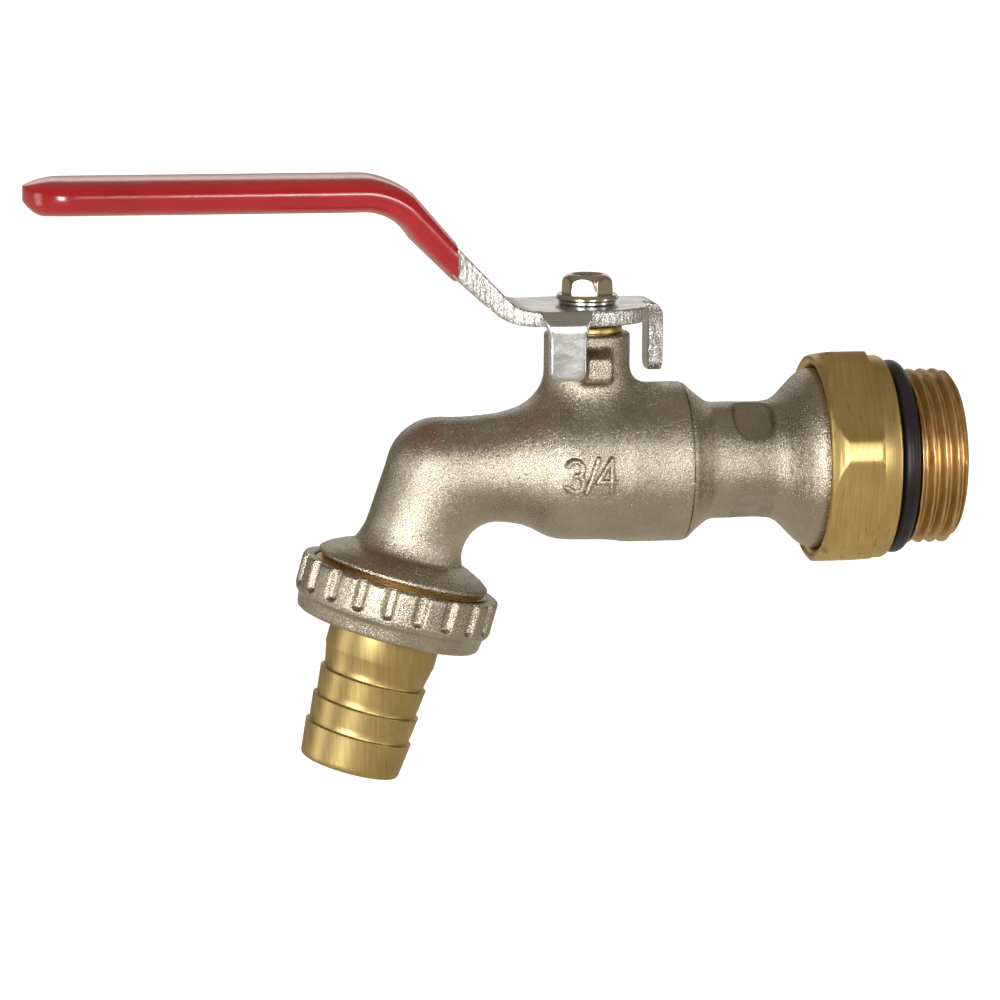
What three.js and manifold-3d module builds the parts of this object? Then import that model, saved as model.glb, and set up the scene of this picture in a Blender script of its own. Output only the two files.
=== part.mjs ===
// A lever ball hose bib, in millimetres: G 1 male threads at the wall and at the outlet, and a 20 mm hose tail.
// +X runs along the inlet towards the wall, +Z up the stem, and the origin is the centre of the face
// where the inlet connector's collar meets its O-ring and the wall.
// The outlet points down and away from the wall, and its own pieces are placed in a group whose +Y runs
// down the outlet, measured from the centre of the elbow.
import * as THREE from "three";
import { mergeVertices } from "three/addons/utils/BufferGeometryUtils.js";
import Module from "manifold-3d";

const wasm = await Module();
wasm.setup();

// ---- driving dimensions ----
const PITCH = 2.309; // G 1, 11 threads to the inch
const THREAD_R = 16.6; // G 1 male thread, crest radius
const THREAD_ROOT_R = 15.15;
const THREAD_END_X = 13.6;
const HEX_FLATS = 39.2; // spanner size of the inlet connector
const HEX_R = 21.5; // the turned corners of its hexagon
const HEX_TURN = THREE.MathUtils.degToRad(18); // how the hexagon stands at rest, about the inlet axis
const COLLAR_R = 19.3;
const O_RING_R = 16.6; // centre line of the wall O-ring
const O_RING_WIRE = 1.7;

const STEM_X = -56.9;
const NECK_R = 8.1;
const NECK_TOP = 25;
const CHAMBER_R = 15.05;
const SEAM_X = -39; // where the tailpiece's shoulder meets the body
const TAIL_NECK_R = 11.1;
const BELL_R = 17.1;
const RIM_R = 18.2; // the tailpiece's hidden rim, held behind the connector's rolled lip
const BORE_R = 7;

const SPOUT_R = 10;
const SPOUT_BORE_R = 6.8;
const ELBOW = new THREE.Vector3(-86.4, 0, -0.75);
const OUTLET_TILT = THREE.MathUtils.degToRad(15.5);
const DOWN_R = 9.4;
const SPIGOT_END = 25.3; // along the outlet, from the elbow's centre
const NUT_TOP = 20.7;
const NUT_END = 31.2;
const NUT_R = 19;
const NUT_GROOVES = 20;
const HOSE_R = 10.25; // crest radius of the hose tail's barbs
const TAIL_END = 58.3;

const BALL_R = 10.4;
const BALL_BORE_R = 6;
const STEM_R = 4;

const PLATE = 3; // thickness of the lever plate
const PLATE_TOP = 30.3;
const HUB_R = 11.4;
const ARM_HALF = 8; // half the width of the lever
const INCLINE = THREE.MathUtils.degToRad(46);
const HANDLE_Z = 52; // middle of the lever plate, along the handle
const TIP_X = -160.3;
const SLEEVE_END_X = -82.7;
const LUG_X = STEM_X + 0.3; // the body's stop lug, in front of the stem
const LUG_HALF = 2.5;
const LUG_Y = -12.35;
const TAB_FAR = 9.3; // the outer side of the lever's stop tabs, from the stem

const GAP = 0.3; // clearance between pieces that touch
const ROUND = 32; // sides of a large round piece
const SMALL = 20;

// ---- materials ----
function finish(color, roughness, metalness) {
  return new THREE.MeshStandardMaterial({ color, roughness, metalness });
}
const nickel = finish(0xb3a998, 0.45, 1);
const brass = finish(0xc9a24a, 0.3, 1);
const zinc = finish(0xc9ccd0, 0.25, 1);
const chrome = finish(0xe2e4e6, 0.08, 1);
const redVinyl = finish(0xb3262a, 0.35, 0);
const rubber = finish(0x262426, 0.7, 0);
const ptfe = finish(0xf0efe8, 0.6, 0);

// ---- solids ----
function solid(geometry) {
  const g = geometry.clone();
  for (const name of ["normal", "uv"]) g.deleteAttribute(name);
  const merged = mergeVertices(g, 1e-4);
  const make = (triVerts) =>
    new wasm.Manifold(
      new wasm.Mesh({ numProp: 3, vertProperties: merged.attributes.position.array, triVerts }),
    );
  const made = make(new Uint32Array(merged.index.array));
  return made.volume() > 0 ? made : make(new Uint32Array(merged.index.array).reverse());
}

function join(...solids) {
  return solids.reduce((a, b) => a.add(b));
}

function moved(body, matrix) {
  return body.transform(matrix.elements);
}

// A profile of [along, radius] points turned about +Y, +X or the stem's vertical axis.
function turned(profile, sides = ROUND) {
  const points = profile.map(([along, radius]) => new THREE.Vector2(radius, along));
  return new THREE.LatheGeometry([...points, points[0].clone()], sides);
}
function turnedY(profile, sides) {
  return solid(turned(profile, sides));
}
function turnedX(profile, sides) {
  return solid(turned(profile, sides).rotateZ(-Math.PI / 2));
}
function turnedStem(profile, sides = SMALL) {
  return solid(turned(profile, sides).rotateX(Math.PI / 2).translate(STEM_X, 0, 0));
}

// A plain rod or tube between two stations, as a closed profile.
function rod(from, to, outer, inner = 0) {
  return [[from, inner], [from, outer], [to, outer], [to, inner]];
}

// A ball of so many sides, with its poles on the Y axis.
function sphere(radius, centre, sides = SMALL) {
  const g = new THREE.SphereGeometry(radius, sides, sides / 2).rotateX(Math.PI / 2);
  return solid(g.translate(centre.x, centre.y, centre.z));
}

function torus(radius, wire, sides = ROUND) {
  return new THREE.TorusGeometry(radius, wire, 6, sides);
}

function block(dx, dy, dz, x, y, z) {
  return solid(new THREE.BoxGeometry(dx, dy, dz).translate(x, y, z));
}

function extruded(points, depth) {
  return new THREE.ExtrudeGeometry(new THREE.Shape(points), { depth, bevelEnabled: false });
}

function point(x, y) {
  return new THREE.Vector2(x, y);
}

// One helical ridge about +Y: a trapezium section, wound right-handed from start for so many turns.
function ridge({ base, crest, baseHalf, crestHalf, start, turns }) {
  const outline = [
    point(base, -baseHalf), point(crest, -crestHalf), point(crest, crestHalf), point(base, baseHalf),
  ];
  const g = new THREE.ExtrudeGeometry(new THREE.Shape(outline), {
    depth: turns, steps: Math.round(turns * 20), bevelEnabled: false,
  });
  const p = g.attributes.position;
  for (let i = 0; i < p.count; i++) {
    const radius = p.getX(i);
    const turn = p.getZ(i);
    const angle = -2 * Math.PI * turn;
    p.setXYZ(i, radius * Math.cos(angle), start + p.getY(i) + PITCH * turn, radius * Math.sin(angle));
  }
  return solid(g);
}

const ontoX = new THREE.Matrix4().makeRotationZ(-Math.PI / 2);
const downOutlet = new THREE.Vector3(-Math.sin(OUTLET_TILT), 0, -Math.cos(OUTLET_TILT));
const outletTurn = new THREE.Quaternion().setFromUnitVectors(new THREE.Vector3(0, 1, 0), downOutlet);
const ontoOutlet = new THREE.Matrix4().compose(ELBOW, outletTurn, new THREE.Vector3(1, 1, 1));

const root = new THREE.Group();
const outlet = new THREE.Group();
outlet.position.copy(ELBOW);
outlet.quaternion.copy(outletTurn);
root.add(outlet);

function place(name, body, material, group = root) {
  const m = body.getMesh();
  const g = new THREE.BufferGeometry();
  g.setAttribute("position", new THREE.BufferAttribute(new Float32Array(m.vertProperties), 3));
  g.setIndex(new THREE.BufferAttribute(new Uint32Array(m.triVerts), 1));
  g.computeVertexNormals();
  const mesh = new THREE.Mesh(g, material);
  mesh.name = name;
  group.add(mesh);
}

// ---- inlet connector: a hexagon with a rolled lip, a collar and a G 1 male thread ----
function makeInletUnion() {
  const hexEnd = -4;
  const g = new THREE.CylinderGeometry(1, 1, 12, 6).scale(HEX_FLATS / Math.sqrt(3), 1, HEX_FLATS / Math.sqrt(3));
  const flats = solid(g.rotateY(HEX_TURN).translate(0, hexEnd - 6, 0).rotateZ(-Math.PI / 2));
  const turnedOutside = turnedX([
    [-13.8, 0], [-13.8, 18.8], [-13.3, 19.7], [-12.3, 20.5], [-10.8, HEX_R], [hexEnd - 0.4, HEX_R],
    [hexEnd, HEX_R - 0.8], [hexEnd, 0],
  ]);
  const collar = turnedX([
    [hexEnd - 1, 0], [hexEnd - 1, COLLAR_R], [-0.7, COLLAR_R], [0, COLLAR_R - 0.7], [0, 14.5],
    [3.9, 14.5], [4.4, THREAD_ROOT_R], [THREAD_END_X - 0.3, THREAD_ROOT_R], [THREAD_END_X, 14.8],
    [THREAD_END_X, 0],
  ]);
  const thread = moved(
    ridge({ base: 14.9, crest: THREAD_R, baseHalf: 1.06, crestHalf: 0.19, start: 3.2, turns: 4.6 }),
    ontoX,
  ).intersect(turnedX([
    [4.1, 0], [4.1, 15], [5.4, THREAD_R + 0.1], [THREAD_END_X - 1.5, THREAD_R + 0.1],
    [THREAD_END_X - 0.05, 15], [THREAD_END_X - 0.05, 0],
  ]));
  const hollow = turnedX([
    [-15, 0], [-15, 18.5], [-13.8, 18.1], [-12.6, BELL_R + GAP], [-11, BELL_R + GAP],
    [-11, RIM_R + 0.4], [-7.2, RIM_R + 0.4], [-7.2, 12.75], [3.3, 12.75], [3.3, 12],
    [THREAD_END_X - 0.5, 12], [THREAD_END_X + 0.5, 12.8], [THREAD_END_X + 0.5, 0],
  ]);
  return join(flats.intersect(turnedOutside), collar, thread).subtract(hollow);
}

// ---- inlet tailpiece: screwed into the body, ending in a bell that turns inside the connector ----
function makeTailpiece() {
  const tube = turnedX([
    [-46.7, BORE_R], [-46.7, 11.1], [-46.2, 11.6], [SEAM_X + 0.25, 11.6], [SEAM_X + 0.25, 15],
    [-37.2, 13.7], [-35.2, 12.2], [-34.1, 11.4], [-33.2, TAIL_NECK_R], [-22.4, TAIL_NECK_R],
    [-20.9, 11.6], [-19.8, 12.3], [-16.4, 15.9], [-15.3, 16.7], [-14, BELL_R], [-10.5, BELL_R],
    [-10.5, RIM_R], [-7.5, RIM_R], [-7.5, 12.4], [-2.2, 12.4], [-2.2, 10.5], [0.2, 10.5],
    [0.2, 12.4], [2.6, 12.4], [3, 12], [3, 9], [0, BORE_R],
  ]);
  // Four spanner flats on the neck, two above and two below.
  const flats = [60, 120, 240, 300].map((degrees) => {
    const pad = new THREE.BoxGeometry(7, 1.6, 6.6).translate(-26, TAIL_NECK_R + 0.3, 0);
    return solid(pad.rotateX(THREE.MathUtils.degToRad(degrees)));
  });
  return tube.subtract(join(...flats));
}

// ---- body: ball chamber, stem neck with its stop lug, spout, and the threaded outlet spigot ----
function makeBody() {
  const chamber = turnedX([
    [SEAM_X, 0], [SEAM_X, CHAMBER_R], [-50, CHAMBER_R], [-52.5, 14.4], [-63.3, 14.4], [-65.8, 13.1],
    [-67.7, 12], [-69.6, 11.1], [-71.5, 10.5], [-73.4, 10.1], [-73.4, 0],
  ]);
  const knee = new THREE.Vector3(ELBOW.x + 1.4, 0, ELBOW.z); // the outside of the bend is drawn in a little
  const spout = turnedX(rod(knee.x, -60, SPOUT_R)).translate([0, 0, ELBOW.z]);
  const elbow = sphere(SPOUT_R, knee, ROUND);
  const neck = turnedStem([
    [0, 0], [0, 10.1], [15.4, 10.1], [16.3, 8.8], [17.7, NECK_R], [NECK_TOP - 0.6, NECK_R],
    [NECK_TOP, NECK_R - 0.6], [NECK_TOP, 0],
  ], ROUND);
  const lugSide = [
    point(-7, 16.1), point(-8, 16.1), point(LUG_Y, 17.6), point(LUG_Y, 21.1), point(-8, 22.7), point(-7, 22.7),
  ];
  const lug = solid(
    extruded(lugSide.map((v) => point(v.y, v.x)), 2 * LUG_HALF).rotateY(-Math.PI / 2)
      .translate(LUG_X + LUG_HALF, 0, 0),
  );
  const down = turnedY([
    [3, 0], [3, 8], [11, DOWN_R], [14.6, DOWN_R], [16.2, 10.5], [16.9, 12.6], [18, 14.8], [18.8, 15.9],
    [19.3, 16.4], [19.9, 16.4], [20.3, 16], [20.3, THREAD_ROOT_R],
    [SPIGOT_END - 0.4, THREAD_ROOT_R], [SPIGOT_END, 14.8], [SPIGOT_END, 0],
  ]);
  const thread = ridge({
    base: 14.9, crest: 16.5, baseHalf: 0.96, crestHalf: 0.12, start: 19.6, turns: 2.7,
  }).intersect(turnedY([
    [20.1, 0], [20.1, 16.6], [SPIGOT_END - 1.2, 16.6], [SPIGOT_END - 0.05, 15], [SPIGOT_END - 0.05, 0],
  ]));
  const shell = join(chamber, spout, elbow, neck, lug, moved(down.add(thread), ontoOutlet));

  const cavity = turnedX([
    [-37, 0], [-37, 11.9], [-47, 11.9], [-47, 10.9], [-67.1, 10.9], [-67.1, 0],
  ]);
  const passage = turnedX(rod(ELBOW.x, -66, SPOUT_BORE_R), SMALL).translate([0, 0, ELBOW.z]);
  const turn = sphere(SPOUT_BORE_R, ELBOW);
  const outletBore = moved(turnedY([
    [0, 0], [0, SPOUT_BORE_R], [17, SPOUT_BORE_R], [SPIGOT_END + 1, 9], [SPIGOT_END + 1, 0],
  ], SMALL), ontoOutlet);
  const stemBore = turnedStem([
    [6, 0], [6, 5.8], [13, 5.8], [13, STEM_R + GAP], [16, STEM_R + GAP], [16, 6.2], [NECK_TOP + 1, 6.2],
    [NECK_TOP + 1, 0],
  ]);
  return shell.subtract(join(cavity, passage, turn, outletBore, stemBore));
}

// ---- ball, stem and their seals ----
function makeBall() {
  const bore = turnedX(rod(STEM_X - 12, STEM_X + 12, BALL_BORE_R), SMALL);
  const slot = block(3.2, 22, 4, STEM_X, 0, 9.1);
  return sphere(BALL_R, new THREE.Vector3(STEM_X, 0, 0)).subtract(bore).subtract(slot);
}

// A PTFE seat whose inner face is dished to the ball; side is 1 towards the inlet, -1 towards the outlet.
function makeSeat(side) {
  const dish = BALL_R + GAP;
  const face = [9, 8.3, 7.5, 6.7].map((r) => [STEM_X + side * Math.sqrt(dish * dish - r * r), r]);
  const back = STEM_X + side * 9.9;
  return turnedX([[back, 6.7], [back, 10.6], [STEM_X + side * 6.2, 10.6], [face[0][0], 9.6], ...face], SMALL);
}

function makeStem() {
  const shaft = turnedStem([
    [10.7, 0], [10.7, 5.5], [12.1, 5.5], [12.1, STEM_R], [13.8, STEM_R], [13.8, 2.8], [15.4, 2.8],
    [15.4, STEM_R], [27, STEM_R], [27, 3.9], [30.2, 3.9], [30.2, 2.4], [34.4, 2.4], [34.8, 2],
    [34.8, 0],
  ]);
  const tang = block(2.6, 8, 3.6, STEM_X, 0, 9.2);
  const flats = [-1, 1].map((side) => block(2, 9, 3.3, STEM_X + side * 4, 0, 28.65));
  return shaft.add(tang).subtract(join(...flats));
}

function makeGlandNut() {
  const nut = turnedStem([
    [20.6, STEM_R + GAP], [20.6, 5.9], [NECK_TOP + 0.2, 5.9], [NECK_TOP + 0.2, 6.9],
    [NECK_TOP + 0.5, 7.1], [26.3, 7.1], [26.6, 6.8], [26.6, STEM_R + GAP],
  ]);
  return nut.subtract(block(18, 1.8, 1.6, STEM_X, 0, 26.6));
}

// ---- lever: a bent strip with two stop tabs, in a vinyl sleeve ----
// The middle line of the strip from the hub to the tip, as [x, z, angle] stations.
function leverLine(fromX, toX) {
  const hubZ = PLATE_TOP - PLATE / 2;
  const lowCorner = -71.9;
  const highCorner = lowCorner - (HANDLE_Z - hubZ) / Math.tan(INCLINE);
  const stations = [[fromX, hubZ, 0]];
  function bend(cornerX, cornerZ, radius, start, end) {
    const back = radius * Math.tan(INCLINE / 2);
    const side = Math.sign(end - start);
    const x0 = cornerX + back * Math.cos(start);
    const z0 = cornerZ - back * Math.sin(start);
    for (let i = 0; i <= 6; i++) {
      const a = start + ((end - start) * i) / 6;
      stations.push([
        x0 - side * radius * (Math.sin(a) - Math.sin(start)),
        z0 - side * radius * (Math.cos(a) - Math.cos(start)),
        a,
      ]);
    }
  }
  bend(lowCorner, hubZ, 8, 0, INCLINE);
  bend(highCorner, HANDLE_Z, 13, INCLINE, 0);
  stations.push([toX, HANDLE_Z, 0]);
  return stations;
}

// A band along the strip seen from the side, from above(x) over its middle line to below(x) under it.
function leverSide(above, below, fromX, toX) {
  const line = leverLine(fromX, toX);
  const offset = (side, by) => line.map(([x, z, a]) =>
    point(x + side * by(x) * Math.sin(a), z + side * by(x) * Math.cos(a)));
  const band = extruded([...offset(1, above), ...offset(-1, below).reverse()], 60);
  return solid(band.translate(0, 0, -30).rotateX(Math.PI / 2));
}

// A value that changes evenly with x between the stations it is given at.
function between(x, ...stations) {
  for (let i = 1; i < stations.length; i++) {
    const [x0, v0] = stations[i - 1];
    const [x1, v1] = stations[i];
    if (x >= x0 && x <= x1) return v0 + ((v1 - v0) * (x - x0)) / (x1 - x0);
  }
  return x < stations[0][0] ? stations[0][1] : stations[stations.length - 1][1];
}
const plateAbove = () => PLATE / 2;
// The strip's two long edges are turned down, most at the mouth of the sleeve.
const edgeBelow = (x) => PLATE / 2 + between(x, [-98, 0.9], [-83, 1.35], [-69.5, 0]);

// The strip seen from above: straight sides and a round tip.
function leverPlan(half, tipX, endX, tipRound) {
  const shape = new THREE.Shape();
  shape.moveTo(endX, -half);
  shape.lineTo(endX, half);
  shape.lineTo(tipX + tipRound, half);
  shape.absellipse(tipX + tipRound, 0, tipRound, half, Math.PI / 2, 1.5 * Math.PI, false, 0);
  shape.closePath();
  return solid(new THREE.ExtrudeGeometry(shape, { depth: 60, bevelEnabled: false, curveSegments: 10 }));
}

// A tab bent down from the hub, inner to outer in x and near to far in y, from the stem's axis.
function stopTab(inner, bottom, near) {
  const outer = inner + PLATE;
  const bend = 3.2;
  const shape = new THREE.Shape();
  shape.moveTo(6, PLATE_TOP);
  shape.lineTo(outer - bend, PLATE_TOP);
  shape.absarc(outer - bend, PLATE_TOP - bend, bend, Math.PI / 2, 0, true);
  shape.lineTo(outer, bottom);
  shape.lineTo(inner, bottom);
  shape.lineTo(inner, PLATE_TOP - PLATE);
  shape.lineTo(6, PLATE_TOP - PLATE);
  const g = new THREE.ExtrudeGeometry(shape, {
    depth: TAB_FAR - near, bevelEnabled: false, curveSegments: 6,
  });
  // The shape's x is outwards, its y is up, and the extrusion runs along the tab's width.
  return solid(g.rotateX(Math.PI / 2).translate(0, TAB_FAR, 0));
}

function makeLever() {
  const plan = leverPlan(ARM_HALF, TIP_X, STEM_X, ARM_HALF);
  const channel = leverSide(() => -PLATE / 2, (x) => edgeBelow(x) + 1, STEM_X, -165)
    .intersect(leverPlan(ARM_HALF - 3, TIP_X + 3, STEM_X - 12, ARM_HALF - 3));
  const strip = leverSide(plateAbove, edgeBelow, STEM_X, -165).intersect(plan).subtract(channel);
  const shoulder = leverSide(plateAbove, plateAbove, STEM_X, -165)
    .intersect(block(11, 2 * HUB_R, 60, STEM_X - 5.5, 0, 30));
  const hub = turnedStem(rod(PLATE_TOP - PLATE, PLATE_TOP, HUB_R), ROUND);
  const rightTab = stopTab(12.3, 16.8, 3.1).translate([STEM_X, 0, 0]);
  // The front tab is the same kind of tab, a quarter turn round the stem and mirrored to stand left of it.
  const toFront = new THREE.Matrix4().set(0, -1, 0, STEM_X, -1, 0, 0, 0, 0, 0, 1, 0, 0, 0, 0, 1);
  const frontTab = moved(stopTab(11.1, 17.5, 2.5), toFront);
  const hole = turnedStem(rod(26, 32, STEM_R + 0.2));
  const flats = join(...[-1, 1].map((side) => block(2, 9, 8, STEM_X + side * 4.25, 0, 29)));
  return join(strip, shoulder, hub, rightTab, frontTab).subtract(hole.subtract(flats));
}

function makeSleeve() {
  const above = (x) => between(x, [-98, 3.05], [-90, 2.6], [-83, 2]);
  const below = (x) => between(x, [-104, 3.75], [-90, 3.6], [-83, 3.3]);
  const keep = block(120, 60, 60, SLEEVE_END_X - 60, 0, 45);
  const skin = leverSide(above, below, STEM_X, -170).intersect(leverPlan(9.7, -162, STEM_X, 9))
    .intersect(keep);
  const pocket = leverSide(() => PLATE / 2 + 0.15, (x) => edgeBelow(x) + 0.15, STEM_X, -165)
    .intersect(leverPlan(ARM_HALF + 0.15, TIP_X - 0.2, STEM_X, ARM_HALF + 0.15));
  return skin.subtract(pocket);
}

// A flanged hexagon nut, open at the top, with its flange down.
function makeLeverNut() {
  const corner = 8.4 / Math.sqrt(3);
  const bottom = 31.2;
  const top = 35.7;
  const g = new THREE.CylinderGeometry(corner, corner, top - bottom, 6);
  g.rotateY(THREE.MathUtils.degToRad(8)).rotateX(Math.PI / 2).translate(STEM_X, 0, (top + bottom) / 2);
  const domed = turnedStem([
    [bottom, 0], [bottom, 6], [top - 1.3, 6], [top - 0.6, 4.4], [top, 3.6], [top, 0],
  ]);
  const flange = turnedStem([
    [bottom, 0], [bottom, 5.6], [bottom + 0.3, 5.8], [bottom + 0.7, 5.7], [bottom + 1.5, 4.3],
    [bottom + 1.5, 0],
  ]);
  const hole = turnedStem([
    [31, 0], [31, 2.7], [top - 0.7, 2.7], [top + 0.1, 3.2], [top + 0.1, 0],
  ]);
  return solid(g).intersect(domed).add(flange).subtract(hole);
}

// ---- outlet union: gasket, ring nut and hose tail, in the outlet's own group ----
function makeOutletNut() {
  const ring = turnedY([
    [NUT_TOP, 0], [NUT_TOP, 18], [NUT_TOP + 0.5, 18.7], [NUT_TOP + 1.1, NUT_R], [27.4, 18.9],
    [28.3, 18.1], [30.6, 17.7], [NUT_END, 16.9], [NUT_END, 0],
  ], 40);
  const hollow = turnedY([
    [NUT_TOP - 1, 0], [NUT_TOP - 1, 16.95], [26, 16.95], [26, 15.1], [29.45, 15.1], [29.45, 11],
    [NUT_END + 1, 11], [NUT_END + 1, 0],
  ]);
  const thread = ridge({
    base: 17.1, crest: 15.6, baseHalf: 0.78, crestHalf: 0.14, start: 19.6 + PITCH / 2, turns: 2.2,
  }).intersect(turnedY(rod(NUT_TOP + 0.4, 25.9, 17.3)));
  const grooves = [];
  for (let i = 0; i < NUT_GROOVES; i++) {
    const groove = new THREE.CylinderGeometry(1.5, 1.5, 7, 6).translate(19.6, 23.6, 0);
    grooves.push(solid(groove.rotateY((2 * Math.PI * (i + 0.2)) / NUT_GROOVES)));
  }
  return ring.subtract(join(...grooves)).subtract(hollow).add(thread);
}

function makeHoseTail() {
  const profile = [[27.3, 7.5], [27.3, 14.5], [29.2, 14.5], [29.2, 10.55], [36.5, 10.55]];
  for (const crest of [40.8, 46.2, 51.4]) profile.push([crest - 0.3, 9.65], [crest, HOSE_R]);
  profile.push([TAIL_END - 0.7, 9.6], [TAIL_END, 9], [TAIL_END, 7.5]);
  return turnedY(profile);
}

// ---- the assembly ----
const oRing = torus(O_RING_R, O_RING_WIRE).rotateY(Math.PI / 2).translate(2, 0, 0);
const swivelRing = torus(11.5, 0.8).rotateY(Math.PI / 2).translate(-1, 0, 0);
const stemRing = torus(3.5, 0.6, SMALL).translate(STEM_X, 0, 14.6);
place("inlet_union", makeInletUnion(), brass);
place("inlet_o_ring", solid(oRing), rubber);
place("inlet_tailpiece", makeTailpiece(), nickel);
place("swivel_o_ring", solid(swivelRing), rubber);
place("body", makeBody(), nickel);
place("ball", makeBall(), chrome);
place("seat_ring_inlet", makeSeat(1), ptfe);
place("seat_ring_outlet", makeSeat(-1), ptfe);
place("stem", makeStem(), brass);
place("stem_thrust_washer", turnedStem(rod(12.3, 12.8, 5.5, STEM_R + 0.2)), ptfe);
place("stem_o_ring", solid(stemRing), rubber);
place("packing_ring", turnedStem(rod(16.2, 20.4, 5.95, STEM_R + 0.2)), ptfe);
place("gland_nut", makeGlandNut(), brass);
place("lever", makeLever(), zinc);
place("lever_sleeve", makeSleeve(), redVinyl);
place("lever_washer", turnedStem(rod(30.45, 31.05, 5.6, 2.7)), zinc);
place("lever_nut", makeLeverNut(), nickel);
place("outlet_gasket", turnedY(rod(25.5, 27.1, 14.7, 8.6), SMALL), rubber, outlet);
place("outlet_nut", makeOutletNut(), nickel, outlet);
place("hose_barb", makeHoseTail(), brass, outlet);

export default root;
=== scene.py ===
"""Looks of a lever ball hose bib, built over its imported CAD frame. Lengths here are in millimetres."""
import bpy
import math
import numpy as np
from mathutils import Matrix, Vector


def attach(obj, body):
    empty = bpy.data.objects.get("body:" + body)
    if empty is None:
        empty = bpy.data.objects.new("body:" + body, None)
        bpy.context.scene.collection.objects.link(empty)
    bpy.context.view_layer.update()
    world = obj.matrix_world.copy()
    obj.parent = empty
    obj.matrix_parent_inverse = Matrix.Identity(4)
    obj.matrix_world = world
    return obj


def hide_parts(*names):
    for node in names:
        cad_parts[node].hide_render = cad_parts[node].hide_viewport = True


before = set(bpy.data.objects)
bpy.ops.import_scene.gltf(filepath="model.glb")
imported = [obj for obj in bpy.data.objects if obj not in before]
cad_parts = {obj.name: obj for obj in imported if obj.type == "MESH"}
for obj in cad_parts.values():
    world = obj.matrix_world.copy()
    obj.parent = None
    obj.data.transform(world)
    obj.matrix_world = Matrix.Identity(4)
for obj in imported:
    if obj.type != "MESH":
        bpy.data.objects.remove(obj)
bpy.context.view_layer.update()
MM = 0.001

# ---- where things are ----
STEM_X = -56.9
ELBOW = np.array([-86.4, 0.0, -0.75])
TILT = math.radians(15.5)
DOWN = np.array([-math.sin(TILT), 0.0, -math.cos(TILT)])
SPOUT_R = 9.95
BORE_R = 6.8
NECK_R = 8.1
PITCH = 2.309
THREAD_CREST = 16.6
THREAD_ROOT = 15.15
FEMALE_MIDDLE = 16.1  # the radius that turns the male thread's form inside out
HEX_HALF = 19.6  # half the distance across the union's flats
HEX_TURN = math.radians(-12)  # where a turned corner of the hexagon stands, measured down from the front
LUG_Z = 19.4
CHAMBER_R = 14.4  # where the size mark stands on the chamber's front
PLATE_HALF = 1.5  # half the lever plate's thickness
HUB_R = 11.4
HUB_Z = 28.8
HANDLE_Z = 52.0
LOW_X = -71.9
INCLINE = math.radians(46)
HIGH_X = LOW_X - (HANDLE_Z - HUB_Z) / math.tan(INCLINE)
PLATE_END = -83.6
SLEEVE_MOUTH = -82.7
SLEEVE_TIP = -162.0


# ---- node materials ----
class Graph:
    """A material's node tree, with short ways to add nodes and wire them."""

    def __init__(self, name):
        self.mat = bpy.data.materials.new(name)
        self.mat.use_nodes = True
        self.tree = self.mat.node_tree
        self.bsdf = self.tree.nodes["Principled BSDF"]
        self.coords = self.tree.nodes.new("ShaderNodeTexCoord").outputs["Object"]

    def set(self, **values):
        for key, value in values.items():
            self.bsdf.inputs[key.replace("_", " ")].default_value = value

    def link(self, a, b):
        self.tree.links.new(a, b)

    def node(self, kind, inputs=None, **settings):
        n = self.tree.nodes.new(kind)
        for key, value in settings.items():
            setattr(n, key, value)
        for key, value in (inputs or {}).items():
            if hasattr(value, "node"):
                self.link(value, n.inputs[key])
            else:
                n.inputs[key].default_value = value
        return n

    def noise(self, scale, detail=4, stretch=(1, 1, 1), rough=0.55):
        m = self.node("ShaderNodeMapping", {"Vector": self.coords, "Scale": stretch})
        n = self.node("ShaderNodeTexNoise", {"Vector": m.outputs[0], "Scale": scale, "Detail": detail})
        n.inputs["Roughness"].default_value = rough
        return n.outputs["Fac"]

    def ramp(self, fac, *stops):
        n = self.node("ShaderNodeValToRGB", {"Fac": fac})
        while len(n.color_ramp.elements) < len(stops):
            n.color_ramp.elements.new(0.5)
        for e, (pos, value) in zip(n.color_ramp.elements, stops):
            e.position = pos
            e.color = tuple(value) + (1,) if hasattr(value, "__len__") else (value, value, value, 1)
        return n.outputs["Color"]

    def math(self, op, a, b=0.5, c=0.5):
        return self.node("ShaderNodeMath", {0: a, 1: b, 2: c}, operation=op).outputs[0]

    def bump(self, *layers):
        normal = None
        for height, strength, distance in layers:
            n = self.node("ShaderNodeBump", {"Height": height, "Strength": strength, "Distance": distance})
            if normal is not None:
                self.link(normal, n.inputs["Normal"])
            normal = n.outputs[0]
        self.link(normal, self.bsdf.inputs["Normal"])


def cast_nickel():
    g = Graph("cast_nickel")
    g.set(Metallic=1.0)
    cloud = g.noise(55, 3)
    grain = g.noise(2700, 3, rough=0.65)
    sparkle = g.noise(6500, 1)
    tint = g.math("MULTIPLY_ADD", grain, 0.35, g.math("MULTIPLY", cloud, 0.65))
    colour = g.ramp(tint, (0.34, (0.30, 0.265, 0.205)), (0.66, (0.56, 0.51, 0.42)))
    g.link(colour, g.bsdf.inputs["Base Color"])
    rough = g.math("MULTIPLY_ADD", grain, 0.20, 0.17)
    g.link(rough, g.bsdf.inputs["Roughness"])
    g.bump((grain, 1.0, 0.00016), (sparkle, 0.4, 0.00003), (cloud, 0.2, 0.0006))
    return g.mat


def machined(name, low, high, rough, bump=0.12):
    g = Graph(name)
    g.set(Metallic=1.0)
    cloud = g.noise(90, 4)
    fine = g.noise(900, 3)
    g.link(g.ramp(cloud, (0.3, low), (0.7, high)), g.bsdf.inputs["Base Color"])
    g.link(g.math("MULTIPLY_ADD", fine, 0.16, rough - 0.08), g.bsdf.inputs["Roughness"])
    g.bump((fine, bump, 0.00006), (cloud, 0.1, 0.0003))
    return g.mat


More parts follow.
